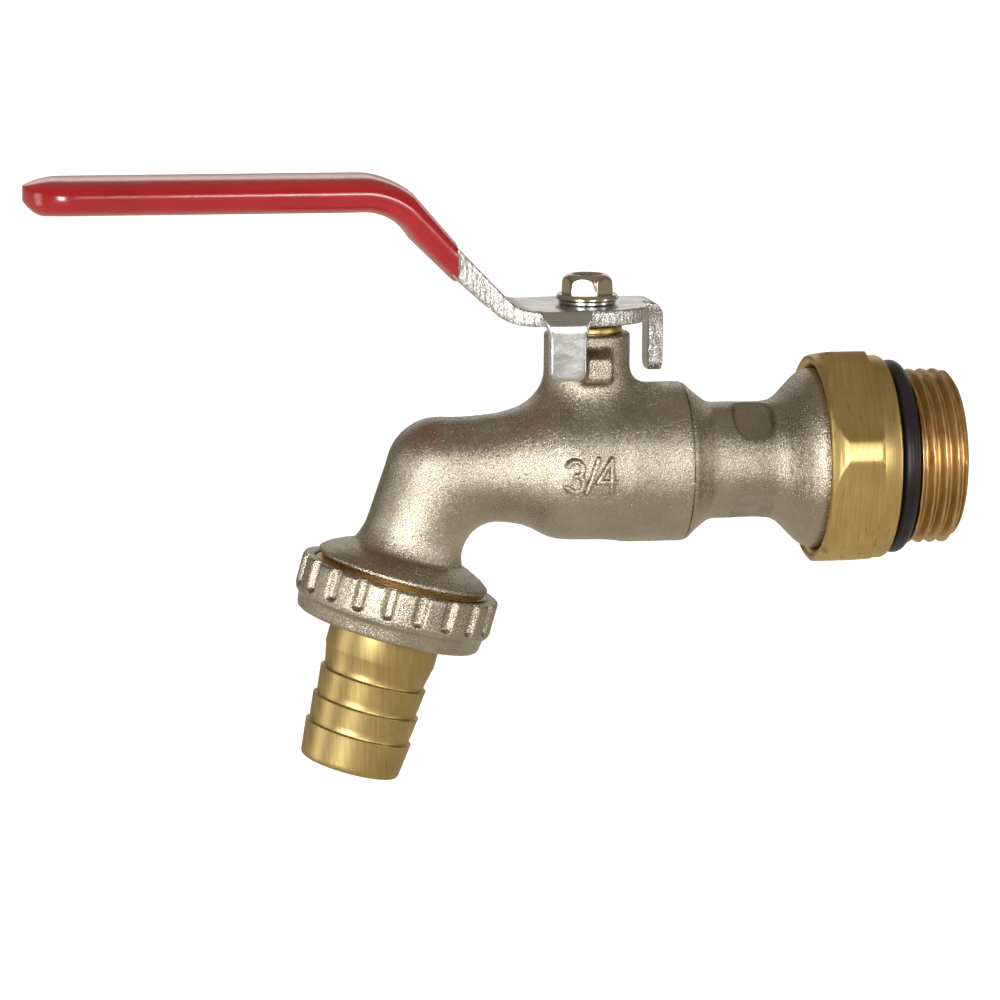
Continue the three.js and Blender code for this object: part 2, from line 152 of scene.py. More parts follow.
def turned_finish(name, low, high, rough, stain=None):
    """Bright metal with fine rings round the X axis, as a lathe leaves it, stained in patches if asked."""
    g = Graph(name)
    g.set(Metallic=1.0)
    cloud = g.noise(70, 4)
    rings = g.noise(900, 2, stretch=(4, 0.15, 0.15))
    tarnish = g.math("MULTIPLY_ADD", rings, 0.35, g.math("MULTIPLY", cloud, 0.65))
    colour = g.ramp(tarnish, (0.34, low), (0.64, high))
    if stain:
        broad = g.noise(75, 5, stretch=(0.7, 1, 1), rough=0.6)
        patches = g.math("MULTIPLY", broad, g.noise(500, 3, stretch=(3, 0.4, 0.4)))
        amount = g.ramp(patches, (0.30, 0.0), (0.40, 0.75))
        mix = g.node("ShaderNodeMix", {0: amount, 6: colour, 7: stain + (1,)}, data_type="RGBA")
        colour = mix.outputs[2]
    g.link(colour, g.bsdf.inputs["Base Color"])
    g.link(g.math("MULTIPLY_ADD", rings, 0.2, rough - 0.1), g.bsdf.inputs["Roughness"])
    g.bump((rings, 0.25, 0.00007), (cloud, 0.15, 0.0005))
    return g.mat


def red_vinyl():
    g = Graph("red_vinyl")
    cloud = g.noise(45, 3)
    fine = g.noise(700, 2)
    colour = g.ramp(cloud, (0.3, (0.19, 0.003, 0.005)), (0.7, (0.255, 0.005, 0.007)))
    g.link(colour, g.bsdf.inputs["Base Color"])
    g.link(g.math("MULTIPLY_ADD", fine, 0.12, 0.16), g.bsdf.inputs["Roughness"])
    g.set(IOR=1.5, Subsurface_Weight=0.01, Coat_Weight=0.2, Coat_Roughness=0.12)
    g.bump((cloud, 0.12, 0.0009), (fine, 0.05, 0.00005))
    return g.mat


def soft(name, low, high, rough):
    g = Graph(name)
    fine = g.noise(1200, 3)
    cloud = g.noise(120, 3)
    g.link(g.ramp(cloud, (0.3, low), (0.7, high)), g.bsdf.inputs["Base Color"])
    g.link(g.math("MULTIPLY_ADD", fine, 0.2, rough - 0.1), g.bsdf.inputs["Roughness"])
    g.set(Specular_IOR_Level=0.3)
    g.bump((fine, 0.2, 0.00006))
    return g.mat


def zinc_plate():
    """Zinc plated steel plate: smooth faces with a fine rolled grain and small specks."""
    g = Graph("zinc_plate")
    g.set(Metallic=1.0)
    cloud = g.noise(80, 4)
    specks = g.ramp(g.noise(1600, 2), (0.55, 0.0), (0.7, 1.0))
    grain = g.noise(700, 3, stretch=(0.4, 2.5, 1))
    colour = g.ramp(cloud, (0.3, (0.50, 0.50, 0.495)), (0.7, (0.66, 0.66, 0.655)))
    g.link(colour, g.bsdf.inputs["Base Color"])
    g.link(g.math("MULTIPLY_ADD", grain, 0.2, 0.16), g.bsdf.inputs["Roughness"])
    g.bump((grain, 0.1, 0.00005), (specks, 0.1, 0.00003), (cloud, 0.3, 0.0009))
    return g.mat


def sheared_edge():
    """The plate's cut edges: bright, streaked across the thickness, with torn pale specks."""
    g = Graph("zinc_sheared_edge")
    g.set(Metallic=1.0)
    streaks = g.noise(1500, 3, stretch=(1.2, 1.2, 0.16), rough=0.6)
    torn = g.ramp(g.noise(2200, 3, rough=0.7), (0.5, 0.0), (0.62, 1.0))
    colour = g.ramp(streaks, (0.35, (0.42, 0.41, 0.385)), (0.62, (0.78, 0.78, 0.77)))
    g.link(colour, g.bsdf.inputs["Base Color"])
    g.link(g.math("MULTIPLY_ADD", torn, 0.2, 0.22), g.bsdf.inputs["Roughness"])
    g.bump((streaks, 0.9, 0.0003), (torn, 0.6, 0.00012))
    return g.mat


MATS = {
    "nickel": cast_nickel(),
    "nickel_smooth": machined("nickel_smooth", (0.46, 0.41, 0.33), (0.60, 0.54, 0.45), 0.2),
    "brass": turned_finish("bright_brass", (0.48, 0.335, 0.12), (0.66, 0.49, 0.21), 0.38,
                           (0.30, 0.17, 0.055)),
    "brass_tail": turned_finish("brass_tail", (0.36, 0.26, 0.10), (0.54, 0.41, 0.175), 0.42),
    "brass_thread": turned_finish("brass_thread", (0.44, 0.29, 0.115), (0.70, 0.51, 0.25), 0.38,
                                  (0.36, 0.13, 0.05)),
    "zinc": zinc_plate(),
    "zinc_edge": sheared_edge(),
    "chrome": machined("chrome_plate", (0.78, 0.79, 0.8), (0.86, 0.87, 0.88), 0.08, bump=0.03),
    "red": red_vinyl(),
    "rubber": soft("black_rubber", (0.004, 0.004, 0.005), (0.009, 0.008, 0.009), 0.4),
    "ptfe": soft("white_ptfe", (0.78, 0.78, 0.75), (0.86, 0.86, 0.84), 0.45),
}


# ---- meshes ----
def mesh_piece(name, verts, faces, body, node, mat, sharp=35):
    mesh = bpy.data.meshes.new(name)
    mesh.from_pydata((np.asarray(verts) * MM).tolist(), [], faces)
    mesh.validate()
    mesh.update()
    mesh.polygons.foreach_set("use_smooth", [True] * len(mesh.polygons))
    mesh.set_sharp_from_angle(angle=math.radians(sharp))
    mesh.materials.append(MATS[mat])
    o = bpy.data.objects.new(name, mesh)
    bpy.context.scene.collection.objects.link(o)
    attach(o, body)
    if node:
        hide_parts(*([node] if isinstance(node, str) else node))
    return o


class Axis:
    """An axis to turn things about: origin, direction, and the direction angle 0 points to."""

    def __init__(self, origin, along, zero):
        self.origin = np.array(origin, float)
        self.along = np.array(along, float) / np.linalg.norm(along)
        zero = np.array(zero, float)
        zero -= self.along * zero.dot(self.along)
        self.zero = zero / np.linalg.norm(zero)
        self.quarter = np.cross(self.along, self.zero)

    def points(self, a, r, t):
        a, r, t = np.broadcast_arrays(a, r, t)
        return (self.origin + a[..., None] * self.along
                + (r * np.cos(t))[..., None] * self.zero + (r * np.sin(t))[..., None] * self.quarter)


INLET = Axis((0, 0, 0), (1, 0, 0), (0, -1, 0))
STEM = Axis((STEM_X, 0, 0), (0, 0, 1), (0, -1, 0))
OUTLET = Axis(ELBOW, DOWN, (0, -1, 0))


def fine_profile(profile, step, fine=()):
    """Splits a closed profile of (along, radius) corners where it crosses the fine spans."""
    out = []
    for (a0, r0), (a1, r1) in zip(profile, profile[1:] + profile[:1]):
        length = math.hypot(a1 - a0, r1 - r0)
        mid = (a0 + a1) / 2
        n = 1
        for lo, hi, rmin in fine:
            if lo <= mid <= hi and min(r0, r1) >= rmin:
                n = max(1, math.ceil(length / step))
        for i in range(n):
            out.append((a0 + (a1 - a0) * i / n, r0 + (r1 - r0) * i / n))
    return out


def turn(name, axis, profile, body, node, mat, sides=160, radius=None, step=0.12, fine=(), sharp=35):
    """A closed profile turned about an axis; radius(a, r, t) may reshape it round the turn."""
    profile = fine_profile(list(profile), step, fine)
    a = np.array([p[0] for p in profile])[:, None]
    r = np.array([p[1] for p in profile])[:, None]
    t = (np.arange(sides) * 2 * math.pi / sides)[None, :]
    rr = np.broadcast_to(r, (len(profile), sides)).copy()
    if radius:
        rr = radius(np.broadcast_to(a, rr.shape), rr, np.broadcast_to(t, rr.shape))
    verts = axis.points(a, rr, t).reshape(-1, 3)
    faces = []
    count = len(profile)
    for i in range(count):
        j = (i + 1) % count
        for k in range(sides):
            m = (k + 1) % sides
            faces.append((i * sides + k, i * sides + m, j * sides + m, j * sides + k))
    area = sum(p[0] * q[1] - q[0] * p[1] for p, q in zip(profile, profile[1:] + profile[:1]))
    if area > 0:
        faces = [f[::-1] for f in faces]
    return mesh_piece(name, verts, faces, body, node, mat, sharp)


def thread_radius(a, t, start, pitch, root, crest):
    """Radius of a right-hand V thread with small flats at its crest and root."""
    phase = (a - start) / pitch - t / (2 * math.pi)
    v = 1 - np.abs(2 * (phase - np.floor(phase)) - 1)
    v = np.clip((v - 0.14) / 0.72, 0, 1)
    v = v * v * (3 - 2 * v) * 0.35 + v * 0.65
    return root + (crest - root) * v


# ---- signed distance shapes, for the castings and the pressed lever ----
def smin(a, b, k):
    h = np.clip(0.5 + 0.5 * (b - a) / k, 0, 1)
    return b * (1 - h) + a * h - k * h * (1 - h)


def smax(a, b, k):
    return -smin(-a, -b, k)


def polygon(points, x, y):
    """Signed distance to a closed polygon, negative inside."""
    best = np.full(x.shape, 1e9)
    inside = np.zeros(x.shape, bool)
    for (x0, y0), (x1, y1) in zip(points, points[1:] + points[:1]):
        ex, ey = x1 - x0, y1 - y0
        wx, wy = x - x0, y - y0
        h = np.clip((wx * ex + wy * ey) / (ex * ex + ey * ey), 0, 1)
        best = np.minimum(best, (wx - ex * h) ** 2 + (wy - ey * h) ** 2)
        if y0 != y1:
            inside ^= ((y0 > y) != (y1 > y)) & (x < ex * (y - y0) / (y1 - y0) + x0)
    best = np.sqrt(best)
    return np.where(inside, -best, best)


def turned(points, axis, p):
    """Signed distance to a profile of (along, radius) points turned about an axis."""
    d = p - axis.origin
    a = d @ axis.along
    r = np.sqrt(np.maximum((d * d).sum(-1) - a * a, 0))
    return polygon(points + [(points[-1][0], -5), (points[0][0], -5)], a, r)


def capsule(p, a, b, r):
    a, b = np.array(a, float), np.array(b, float)
    d = b - a
    h = np.clip(((p - a) @ d) / (d @ d), 0, 1)
    return np.linalg.norm(p - a - h[..., None] * d, axis=-1) - r


def nets(f, lo, hi, h):
    """A quad mesh of f's zero surface: one vertex in each cell that the surface crosses."""
    axes = [np.arange(lo[i], hi[i] + h, h) for i in range(3)]
    nx, ny, nz = [len(v) for v in axes]
    grid = np.empty((nx, ny, nz))
    yy, zz = np.meshgrid(axes[1], axes[2], indexing="ij")
    for i in range(0, nx, 16):
        xs = axes[0][i:i + 16]
        p = np.empty((len(xs), ny, nz, 3))
        p[..., 0] = xs[:, None, None]
        p[..., 1] = yy
        p[..., 2] = zz
        grid[i:i + 16] = f(p)
    s = grid < 0
    ends = [(i, j, k) for i in (0, 1) for j in (0, 1) for k in (0, 1)]
    count = sum(s[i:nx - 1 + i, j:ny - 1 + j, k:nz - 1 + k].astype(np.int8) for i, j, k in ends)
    cells = np.argwhere((count > 0) & (count < 8))
    index = np.full((nx - 1, ny - 1, nz - 1), -1)
    index[tuple(cells.T)] = np.arange(len(cells))
    total = np.zeros((len(cells), 3))
    hits = np.zeros(len(cells))
    for axis in range(3):
        for u in (0, 1):
            for v in (0, 1):
                start = np.zeros(3, int)
                start[(axis + 1) % 3] = u
                start[(axis + 2) % 3] = v
                c0 = cells + start
                c1 = c0.copy()
                c1[:, axis] += 1
                f0, f1 = grid[tuple(c0.T)], grid[tuple(c1.T)]
                cross = (f0 < 0) != (f1 < 0)
                t = np.where(cross, f0 / np.where(cross, f0 - f1, 1), 0)
                pos = c0.astype(float)
                pos[:, axis] += t
                total += pos * cross[:, None]
                hits += cross
    verts = np.array(lo) + h * total / hits[:, None]
    faces = []
    for axis in range(3):
        b, c = (axis + 1) % 3, (axis + 2) % 3
        sl0 = [slice(None)] * 3
        sl1 = [slice(None)] * 3
        sl0[axis] = slice(0, -1)
        sl1[axis] = slice(1, None)
        s0, s1 = s[tuple(sl0)], s[tuple(sl1)]
        for inside, flip in ((s0 & ~s1, False), (~s0 & s1, True)):
            e = np.argwhere(inside)
            e = e[(e[:, b] > 0) & (e[:, b] < grid.shape[b] - 1)]
            e = e[(e[:, c] > 0) & (e[:, c] < grid.shape[c] - 1)]
            quad = []
            for db, dc in ((-1, -1), (0, -1), (0, 0), (-1, 0)):
                q = e.copy()
                q[:, b] += db
                q[:, c] += dc
                quad.append(index[tuple(q.T)])
            quad = np.stack(quad, 1)
            faces.append(quad[:, ::-1] if flip else quad)
    faces = np.concatenate(faces)
    # Three short steps down the slope of f bring each vertex onto the surface.
    for _ in range(3):
        value = f(verts)
        grad = np.empty_like(verts)
        for i in range(3):
            step = np.zeros(3)
            step[i] = 0.02
            grad[:, i] = (f(verts + step) - f(verts - step)) / 0.04
        size = np.maximum((grad ** 2).sum(-1), 0.25)
        verts -= np.clip(value / size, -h, h)[:, None] * grad * 0.9
    return verts, faces.tolist()


# ---- body casting ----
def strokes(x, z, lines, half):
    """Distance to pen strokes drawn in the x-z plane."""
    best = np.full(x.shape, 1e9)
    for (x0, z0), (x1, z1) in lines:
        ex, ez = x1 - x0, z1 - z0
        h = np.clip(((x - x0) * ex + (z - z0) * ez) / (ex * ex + ez * ez), 0, 1)
        best = np.minimum(best, np.hypot(x - x0 - ex * h, z - z0 - ez * h))
    return best - half


def arc(cx, cz, r, start, end, n=10):
    turns = [math.radians(start + (end - start) * i / n) for i in range(n + 1)]
    pts = [(cx + r * math.cos(v), cz + r * math.sin(v)) for v in turns]
    return list(zip(pts, pts[1:]))


# The size mark: a 3, a slash and a 4, cast in relief on the front of the chamber.
SIZE_MARK = (
    arc(-61.5, 1.3, 1.45, 160, -85) + arc(-61.5, -1.55, 1.6, 85, -155)
    + [((-59.3, -3.3), (-57.1, 3.0))]
    + [((-54.6, -3.3), (-54.6, 3.0)), ((-54.6, 3.0), (-57.2, -1.3)), ((-57.2, -1.3), (-53.8, -1.3))]
)

CHAMBER = [(-38.93, 14.95), (-39.1, 15.1), (-49, 15.08), (-50.3, 15.0), (-51.5, 14.82), (-52.8, 14.65),
           (-54.5, 14.55), (-60.5, 14.42), (-62.6, 14.22), (-64.3, 13.8), (-65.8, 13.1), (-67.7, 12.0),
           (-69.6, 11.0), (-71.5, 10.2), (-74, 9.3), (-79, 8.0)]
BELL = [(11, 6.5), (13.5, 8.3), (15.2, 9.7), (16.1, 10.5), (16.9, 12.6), (18, 14.8), (18.8, 15.9),
        (19.2, 16.35), (19.7, 16.4), (20.15, 16.0), (20.25, 13.5)]


def body_shape(p):
    x, y, z = p[..., 0], p[..., 1], p[..., 2]
    chamber = turned(CHAMBER, INLET, p)
    knee = ELBOW + [1.5, 0, 0]
    spout = capsule(p, (-66, 0, -0.75), knee, SPOUT_R)
    leg = ELBOW + DOWN * 14.5 - knee
    drop = capsule(p, knee, knee + leg, SPOUT_R) + 0.6 * np.clip(((p - knee) @ leg) / (leg @ leg), 0, 1)
    # The two legs of the bend meet sharply outside and with a fillet on the inner side.
    inward = np.array([1.0, 0, 0]) + DOWN
    side = np.clip(((p - ELBOW) @ inward) / np.linalg.norm(inward) / 9, 0, 1)
    pipe = smin(drop, spout, 0.3 + 4.0 * side)
    shape = smin(chamber, pipe, 2.0)
    shape = smin(shape, turned(BELL, OUTLET, p), 2.2)
    reach = np.hypot(x - STEM_X, y)
    neck = smax(reach - NECK_R, np.abs(z - 10) - 15.0, 0.7)
    shape = smin(shape, neck, 4.2)
    out = -y - 8.0
    ends = (np.abs(z - LUG_Z) - 3.3 + 0.28 * out) * 0.94
    sides = smax(np.abs(x - STEM_X - 0.3) - 2.9 + 0.14 * out, ends, 1.1)
    lug = smax(smax(sides, out - 4.35, 0.5), -out - 4, 0.1)
    shape = smin(shape, lug, 1.0)
    hollow = np.minimum(turned([(-36, 11.9), (-47, 11.9), (-47, 10.9), (-67.1, 10.9)], INLET, p),
                        capsule(p, (-60, 0, -0.75), ELBOW, BORE_R))
    hollow = np.minimum(hollow, turned([(0, BORE_R), (17, BORE_R), (30, 9)], OUTLET, p))
    hollow = np.minimum(hollow, smax(reach - 6.2, 16 - z, 0.1))
    return smax(shape, -hollow, 0.25)


def mark_shape(p):
    x, y, z = p[..., 0], p[..., 1], p[..., 2]
    out = np.hypot(y, z) - CHAMBER_R
    pens = strokes(x, z, SIZE_MARK, 0.62) + 0.22 * out
    return smax(smax(pens, out - 0.95, 0.4), -out - 0.8, 0.1)


def build_body():
    verts, faces = nets(body_shape, (-109.5, -17.7, -27.5), (-37.5, 17.7, 26.5), 0.42)
    mesh_piece("body_casting", verts, faces, "tap", "body", "nickel", 50)
    verts, faces = nets(mark_shape, (-65, -16.2, -5), (-52, -12, 5), 0.16)
    mesh_piece("body_size_mark", verts, faces, "tap", None, "nickel", 60)

    def crest(a, r, t):
        threaded = np.minimum(r, thread_radius(a, t, 19.6, PITCH, THREAD_ROOT, THREAD_CREST))
        return np.where((r > 14.9) & (a > 20.3), threaded, r)

    spigot = [
        (20.1, 9.0), (20.1, 15.6), (20.4, 15.9), (20.7, THREAD_CREST), (24.4, THREAD_CREST), (25.2, 15.0),
        (25.3, 14.8), (25.3, 9.0),
    ]
    turn("body_outlet_thread", OUTLET, spigot, "tap", None, "brass_thread", 192, crest, 0.12,
         [(20.2, 25.3, 14.7)])


# ---- inlet side ----
def build_inlet():
    def hexagon(a, r, t):
        sector = np.mod(t - HEX_TURN, math.pi / 3) - math.pi / 6
        flat = HEX_HALF / np.cos(sector)
        hexed = np.where((a < -3.99) & (r > 19.0), smin(r, flat, 0.22), r)
        threaded = np.minimum(r, thread_radius(a, t, 3.2, PITCH, THREAD_ROOT, THREAD_CREST))
        return np.where((a > 3.9) & (r > 14.6), threaded, hexed)

    profile = [
        (-11, 18.6), (-11, 17.4), (-12.4, 17.4), (-13.1, 17.7), (-13.6, 18.2), (-13.8, 18.8), (-13.65, 19.3),
        (-13.3, 19.75), (-12.6, 20.4), (-11.8, 21.0), (-11.0, 21.5), (-4.6, 21.5), (-4.25, 21.3),
        (-4.05, 20.9), (-4.0, 19.3), (-0.8, 19.3), (-0.3, 19.1), (0, 18.6), (0, 14.5), (3.7, 14.5),
        (3.85, 15.2), (3.95, 16.0),
        (4.3, THREAD_CREST), (12.3, THREAD_CREST), (13.4, 15.1), (13.6, 14.8), (13.6, 12.5), (13.2, 12.0),
        (3.3, 12.0), (3.3, 12.75), (-7.2, 12.75), (-7.2, 18.6),
    ]
    union = turn("inlet_union_brass", INLET, profile, "wall_union", "inlet_union", "brass", 288,
                 hexagon, 0.13, [(3.9, 13.6, 14.5), (-14, -4.0, 19.0)], 30)
    union.data.materials.append(MATS["brass_thread"])
    for face in union.data.polygons:
        if face.center.x > 0.0037 and math.hypot(face.center.y, face.center.z) > 0.0142:
            face.material_index = 1
    turns = np.linspace(0, 2 * math.pi, 25)[:-1]
    ring = [(2.05 + 1.75 * math.cos(v), 16.6 + 1.8 * math.sin(v)) for v in turns]
    turn("wall_o_ring", INLET, ring, "wall_union", "inlet_o_ring", "rubber", 144)

    tail = [
        (-46.7, 7), (-46.7, 11.1), (-46.2, 11.6), (-38.9, 11.6), (-38.9, 14.75), (-38.75, 14.95),
        (-38.2, 14.75), (-37.2, 13.75), (-36.2, 12.9), (-35.2, 12.15), (-34.4, 11.55), (-33.6, 11.2),
        (-32.6, 11.05), (-23.4, 11.05), (-22.2, 11.15), (-21.2, 11.45), (-20.2, 12.05), (-19.2, 12.95),
        (-17.6, 14.6), (-16.4, 15.8), (-15.4, 16.55), (-14.4, 16.98), (-13.4, 17.1), (-10.5, 17.1),
        (-10.5, 18.2), (-7.5, 18.2), (-7.5, 12.4), (-2.2, 12.4), (-2.2, 10.5), (0.2, 10.5), (0.2, 12.4),
        (2.6, 12.4), (3, 12), (3, 9), (0, 7),
    ]

    def flats(a, r, t):
        # Four wrench flats, two above and two below, with rounded corners.
        for middle in (57, 123, 237, 303):
            off = np.mod(t - math.radians(middle) + math.pi, 2 * math.pi) - math.pi
            length = 4.2 - 1.9 * np.clip(np.abs(off) / 0.5, 0, 1) ** 3
            ease = np.clip((length - np.abs(a + 26)) / 1.0, 0, 1) * (r > 10.6)
            ease = ease * ease * (3 - 2 * ease)
            flat = np.where(np.abs(off) < 0.6, 9.7 / np.cos(np.clip(off, -0.6, 0.6)), 1e3)
            flat = np.maximum(flat, r - 1.3)
            r = r + ease * (smin(r, flat, 0.18) - r)
        return r

    turn("inlet_tail_casting", INLET, tail, "tap", "inlet_tailpiece", "nickel", 288,
         flats, 0.3, [(-38, -13, 10.6)])


# ---- stem, gland nut and lever nut ----
def build_stem():
    def thread(a, r, t):
        return np.where((a > 30.3) & (r > 1.9), np.minimum(r, thread_radius(a, t, 30, 0.9, 1.95, 2.4)), r)

    post = [
        (10.7, 0.01), (10.7, 5.5), (12.1, 5.5), (12.1, 4), (27, 4), (27, 3.3), (30.2, 3.2), (30.25, 2.4),
        (34.2, 2.4), (34.8, 1.9), (34.8, 0.01),
    ]
    turn("stem_post", STEM, post, "lever_set", "stem", "nickel_smooth", 96, thread, 0.08,
         [(30.3, 34.8, 1.85)])
    gland = [
        (20.6, 4.3), (20.6, 5.9), (25.15, 5.9), (25.2, 6.4), (25.35, 6.6), (26.0, 6.6), (26.3, 6.4),
        (26.4, 6.1), (26.4, 4.6), (26.1, 4.3),
    ]
    turn("gland_ring", STEM, gland, "tap", "gland_nut", "brass", 96)
    washer = [(30.45, 2.8), (30.45, 5.3), (30.55, 5.4), (30.95, 5.4), (31.05, 5.3), (31.05, 2.8)]
    turn("hub_washer", STEM, washer, "lever_set", "lever_washer", "zinc", 96)

    def nut(a, r, t):
        sector = np.mod(t - math.radians(11), math.pi / 3) - math.pi / 6
        flat = 4.25 / np.cos(sector)
        outer = (a > 32.2) & (r > 3.6)
        inner = (a > 31.3) & (a < 35.6) & (r < 3.0)
        hexed = np.where(outer, smin(r, flat, 0.3), r)
        grooves = thread_radius(a, t, 30.5, 0.9, 2.5, 2.9)
        return np.where(inner, grooves, hexed)

    flanged = [
        (31.2, 2.9), (31.2, 5.75), (31.35, 5.92), (31.6, 5.9), (32.1, 5.55), (32.6, 5.2), (33.1, 4.98),
        (33.7, 4.9), (34.4, 4.8), (34.9, 4.62), (35.4, 4.25), (35.75, 3.75), (35.9, 3.3), (35.85, 3.0),
        (35.6, 2.85),
    ]
    turn("lever_hex_nut", STEM, flanged, "lever_set", "lever_nut", "nickel_smooth", 144, nut, 0.1,
         [(31.2, 35.6, 2.8)], 30)


# ---- lever and its sleeve ----
def lever_line(n=10):
    """The lever plate's middle line seen from the side, as (x, z, angle) stations from hub to tip."""
    out = [(STEM_X, HUB_Z, 0.0)]
    bends = ((LOW_X, HUB_Z, 8.0, 0.0, INCLINE), (HIGH_X, HANDLE_Z, 13.0, INCLINE, 0.0))
    for cx, cz, radius, start, end in bends:
        back = radius * math.tan(INCLINE / 2)
        side = 1 if end > start else -1
        x0, z0 = cx + back * math.cos(start), cz - back * math.sin(start)
        for i in range(n + 1):
            a = start + (end - start) * i / n
            out.append((x0 - side * radius * (math.sin(a) - math.sin(start)),
                        z0 - side * radius * (math.cos(a) - math.cos(start)), a))
    return out


def lever_shape(p):
    x, y, z = p[..., 0], p[..., 1], p[..., 2]
    bent = lever_line()
    line = [(STEM_X + 3, HUB_Z)] + [(s[0], s[1]) for s in bent] + [(-120.0, HANDLE_Z)]
    middle = strokes(x, z, list(zip(line, line[1:])), 0)
    below = z < np.interp(x, [s[0] for s in reversed(bent)], [s[1] for s in reversed(bent)])
    # The arm's long edges are rolled down, more and more towards the sleeve.
    lip = np.interp(x, [-83, -69.5], [1.35, 0.0]) * np.clip((np.abs(y) - 4.6) / 1.2, 0, 1)
    best = middle - PLATE_HALF - np.where(below, lip, 0.0)
    taper = np.interp(x, [-82, -77, -72, -68.5, -65, -62], [8.0, 8.3, 9.2, 10.5, 11.2, 11.35])
    arm = smax(best, np.abs(y) - taper, 0.6)
    arm = np.maximum(arm, x - STEM_X)
    hub = smax(np.abs(z - HUB_Z) - PLATE_HALF, np.hypot(x - STEM_X, y) - HUB_R, 0.6)
    shape = np.minimum(arm, hub)

    def tab(out, across, near, far, inner, bottom):
        # A strip that runs out level, turns down round a bend and ends at bottom.
        bend = 2.0
        mid = inner + PLATE_HALF
        path = [(6.0, HUB_Z), (mid - bend, HUB_Z)]
        for v in np.linspace(0, math.pi / 2, 6)[1:]:
            path.append((mid - bend + bend * math.sin(v), HUB_Z - bend + bend * math.cos(v)))
        path.append((mid, bottom - 3))
        d = strokes(out, z, list(zip(path, path[1:])), PLATE_HALF)
        flare = 1.3 * np.clip((z - 25.0) / 4.0, 0, 1) ** 2
        side = np.abs(across - (near + far) / 2) - (far - near) / 2 - flare
        corner = np.hypot(np.maximum(side + 1.8, 0), np.maximum(bottom + 1.8 - z, 0)) - 1.8
        return smax(d, np.where(z > bottom + 1.8, side, corner), 0.6)

    right = tab(x - STEM_X, y, 3.1, 9.3, 12.3, 16.8)
    front = tab(-y, -(x - STEM_X), 2.5, 9.3, 11.1, 17.5)
    shape = np.minimum(np.minimum(shape, right), front)
    hole = np.maximum(np.hypot(x - STEM_X, y) - 4.2, np.abs(x - STEM_X) - 3.3)
    return np.maximum(smax(shape, -hole, 0.15), PLATE_END - x)


def build_lever():
    verts, faces = nets(lever_shape, (-85, -14.6, 16), (-40.9, 12.0, 44), 0.32)
    o = mesh_piece("lever_plate", verts, faces, "lever_set", "lever", "zinc", 40)
    o.data.materials.append(MATS["zinc_edge"])
    # The cut edges get the sheared finish; the front tab's cut edges face along X, all others along Y.
    for face in o.data.polygons:
        n, c = face.normal, face.center
        across = abs(n.y) if c.y > -0.0118 or c.x < -0.067 else abs(n.x)
        if across > 0.6 and c.y > -0.0135:
            face.material_index = 1


def build_sleeve():
    """A rounded section swept along the lever, closed at the tip and cut off square at its mouth."""
    line = lever_line(n=16)
    xs = np.array([s[0] for s in line])
    zs = np.array([s[1] for s in line])
    angles = np.array([s[2] for s in line])
    end = 9.0  # length of the rounded end
    u = np.concatenate([np.linspace(SLEEVE_MOUTH, -104, 40), np.linspace(-106, SLEEVE_TIP + end, 24),
                        SLEEVE_TIP + end * (1 - np.sin(np.linspace(0.05, math.pi / 2, 22)))])
    order = np.argsort(xs)
    path_z = np.interp(u, xs[order], zs[order], left=HANDLE_Z)
    path_a = np.interp(u, xs[order], angles[order], left=0.0)
    around = 48
    v = np.arange(around) * 2 * math.pi / around
    verts = []
    for x, z, a in zip(u, path_z, path_a):
        above = float(np.interp(x, [-98, -90, -83], [3.05, 2.6, 2.0]))
        below = float(np.interp(x, [-104, -90, -83], [3.75, 3.6, 3.3]))
        wide = float(np.interp(x, [-98, -84], [9.7, 9.2]))
        if x < SLEEVE_TIP + end:
            past = x - SLEEVE_TIP
            wide *= max(math.sqrt(max(0.0, 1 - ((end - past) / end) ** 2)), 0.02)
            above *= 0.55 + 0.45 * (1 - max(0.0, 1 - past / 6.5) ** 1.8)
            below *= 0.3 + 0.7 * (1 - max(0.0, 1 - past / 4.0) ** 2.2)
        c, s = np.cos(v), np.sin(v)
        square = float(np.interp(x, [-94, -86], [0.78, 0.55]))
        yy = np.sign(c) * np.abs(c) ** 0.6 * wide
        nn = np.sign(s) * np.abs(s) ** square * np.where(s > 0, above, below) / max(math.cos(a), 0.3)
        verts.append(np.stack([np.full(around, x), yy, z + nn], -1))
    verts = np.concatenate(verts)
    rows = len(u)
    faces = []
    for i in range(rows - 1):
        for k in range(around):
            m = (k + 1) % around
            faces.append((i * around + k, i * around + m, (i + 1) * around + m, (i + 1) * around + k))
    faces.append(tuple(range((rows - 1) * around, rows * around)))
    faces.append(tuple(reversed(range(around))))
    mesh_piece("lever_grip", verts, faces, "lever_set", "lever_sleeve", "red", 50)


